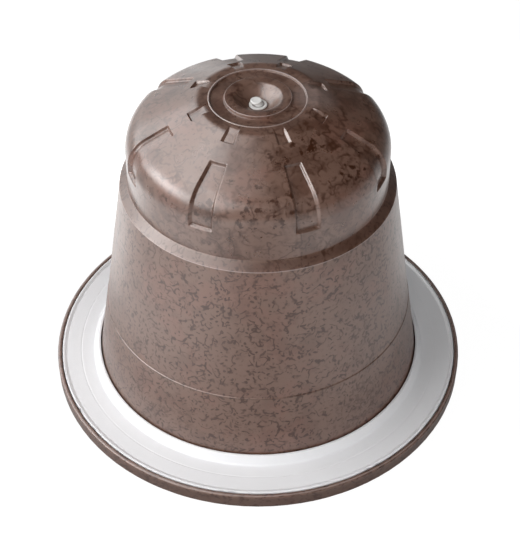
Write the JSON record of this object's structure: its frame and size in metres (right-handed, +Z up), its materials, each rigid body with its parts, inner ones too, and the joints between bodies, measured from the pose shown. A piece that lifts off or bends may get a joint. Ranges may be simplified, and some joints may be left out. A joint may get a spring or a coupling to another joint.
{
  "type": "coffee pod",
  "caption": "Single-serve coffee capsule with a flanged, tapered cup, a slotted dome, a white sealing ring on the flange and a sealed base.",
  "frame": {"origin": "centre of the underside, where the flange stands on a surface", "axes": "+Z up along the capsule's axis towards the dome, -Y towards the viewer, +X to the viewer's right"},
  "size_m": [0.037, 0.037, 0.0284],
  "materials": {
    "fibre_plastic": "brown plastic with dark plant fibre flecks, satin",
    "ring_plastic": "soft white plastic, satin",
    "nub_plastic": "white plastic, satin",
    "film": "plain off-white sealing film, matte"
  },
  "bodies": {
    "root": {"cup": "fibre_plastic", "sealing_ring": "ring_plastic", "gate_nub": "nub_plastic", "lid_film": "film"}
  },
  "joints": []
}
